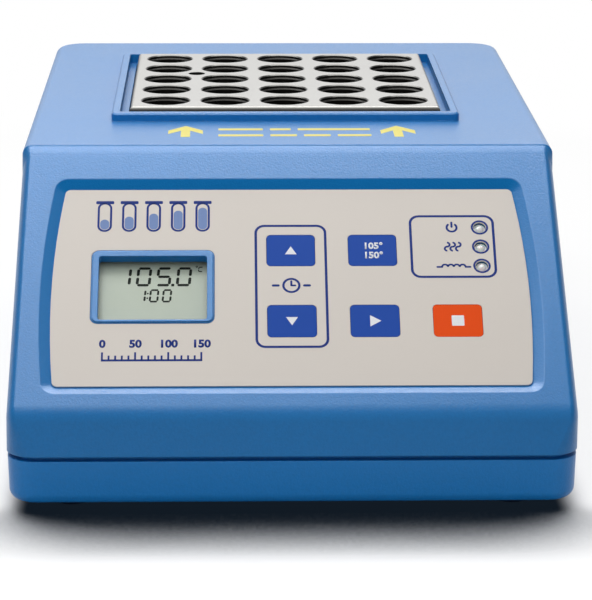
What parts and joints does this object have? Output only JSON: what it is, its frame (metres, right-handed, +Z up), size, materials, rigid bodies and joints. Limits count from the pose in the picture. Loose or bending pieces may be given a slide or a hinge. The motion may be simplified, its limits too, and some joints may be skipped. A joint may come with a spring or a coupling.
{
  "type": "chemical oxygen demand reactor",
  "caption": "Bench heating block for digestion vials in a wedge-shaped housing with a sloping display panel, film keys and status lamps.",
  "frame": {"origin": "centre of the footprint, on the bench under the feet", "axes": "+X to the user's right, +Y to the back, +Z up; the control panel faces -Y"},
  "size_m": [0.1894, 0.3, 0.111],
  "materials": {
    "cover_plastic": "fine textured satin",
    "base_plastic": "fine textured satin",
    "foot_rubber": "matte",
    "screw_steel": "bright zinc",
    "block_aluminium": "machined and dulled by heat",
    "plate_steel": "brushed",
    "heater_steel": "satin",
    "insulation_wool": "matte",
    "ceramic_white": "matte",
    "shield_steel": "zinc",
    "film": "satin film",
    "clear_window": "clear",
    "display_glass": "silvered",
    "white_plastic": "satin",
    "lamp_plastic": "diffuse",
    "board_green": "solder mask",
    "black_plastic": "satin",
    "key_blue": "satin film",
    "key_orange": "satin film",
    "core_steel": "varnished",
    "copper_coil": "taped",
    "bare_aluminium": "extruded",
    "pin_brass": "nickelled",
    "wire_insulation": "satin"
  },
  "bodies": {
    "housing": {"top_cover": "cover_plastic", "bottom_base": "base_plastic", "rubber_feet": "foot_rubber", "foot_screws": "screw_steel", "housing_screws": "screw_steel", "heater_block": "block_aluminium", "block_cover_plate": "plate_steel", "cartridge_heaters": "heater_steel", "temperature_sensor": "heater_steel", "thermal_cutout": "black_plastic", "block_standoffs": "ceramic_white", "block_screws": "screw_steel", "insulation_sleeve": "insulation_wool", "insulation_mat": "insulation_wool", "heat_shield": "shield_steel", "shield_screws": "screw_steel", "front_overlay": "film", "display_window": "clear_window", "lcd_glass": "display_glass", "lcd_holder": "white_plastic", "status_lamps": "lamp_plastic", "control_board": "board_green", "control_board_screws": "screw_steel", "control_chips": "black_plastic", "key_switches": "black_plastic", "ribbon_cable": "wire_insulation", "power_board": "board_green", "power_board_screws": "screw_steel", "transformer_core": "core_steel", "transformer_coil": "copper_coil", "triac": "black_plastic", "triac_heatsink": "bare_aluminium", "capacitors": "black_plastic", "relay": "black_plastic", "terminal_block": "white_plastic", "power_inlet": "black_plastic", "inlet_pins": "pin_brass", "inlet_screws": "screw_steel", "mains_wires": "wire_insulation", "heater_wires": "white_plastic", "sensor_wire": "white_plastic", "earth_wire": "wire_insulation"},
    "key_timer_up": {"key_timer_up": "key_blue", "plunger_timer_up": "black_plastic"},
    "key_timer_down": {"key_timer_down": "key_blue", "plunger_timer_down": "black_plastic"},
    "key_temperature": {"key_temperature": "key_blue", "plunger_temperature": "black_plastic"},
    "key_start": {"key_start": "key_blue", "plunger_start": "black_plastic"},
    "key_stop": {"key_stop": "key_orange", "plunger_stop": "black_plastic"},
    "rocker": {"rocker_switch": "black_plastic"},
    "fuse_holder": {"fuse_drawer": "black_plastic", "fuses": "pin_brass"}
  },
  "joints": [
    {"name": "press_timer_up", "type": "slide", "parent": "housing", "child": "key_timer_up", "axis": [0, 0.6527, -0.7576], "range_m": [0, 0.0004], "stiffness_N_per_m": 3000},
    {"name": "press_timer_down", "type": "slide", "parent": "housing", "child": "key_timer_down", "axis": [0, 0.6527, -0.7576], "range_m": [0, 0.0004], "stiffness_N_per_m": 3000},
    {"name": "press_temperature", "type": "slide", "parent": "housing", "child": "key_temperature", "axis": [0, 0.6527, -0.7576], "range_m": [0, 0.0004], "stiffness_N_per_m": 3000},
    {"name": "press_start", "type": "slide", "parent": "housing", "child": "key_start", "axis": [0, 0.6527, -0.7576], "range_m": [0, 0.0004], "stiffness_N_per_m": 3000},
    {"name": "press_stop", "type": "slide", "parent": "housing", "child": "key_stop", "axis": [0, 0.6527, -0.7576], "range_m": [0, 0.0004], "stiffness_N_per_m": 3000},
    {"name": "switch_rock", "type": "hinge", "parent": "housing", "child": "rocker", "pos_m": [0.028, 0.1456, 0.0471], "axis": [1, 0, 0], "range_deg": [-14, 0]},
    {"name": "fuse_slide", "type": "slide", "parent": "housing", "child": "fuse_holder", "axis": [0, 1, 0], "range_m": [0, 0.014]}
  ]
}
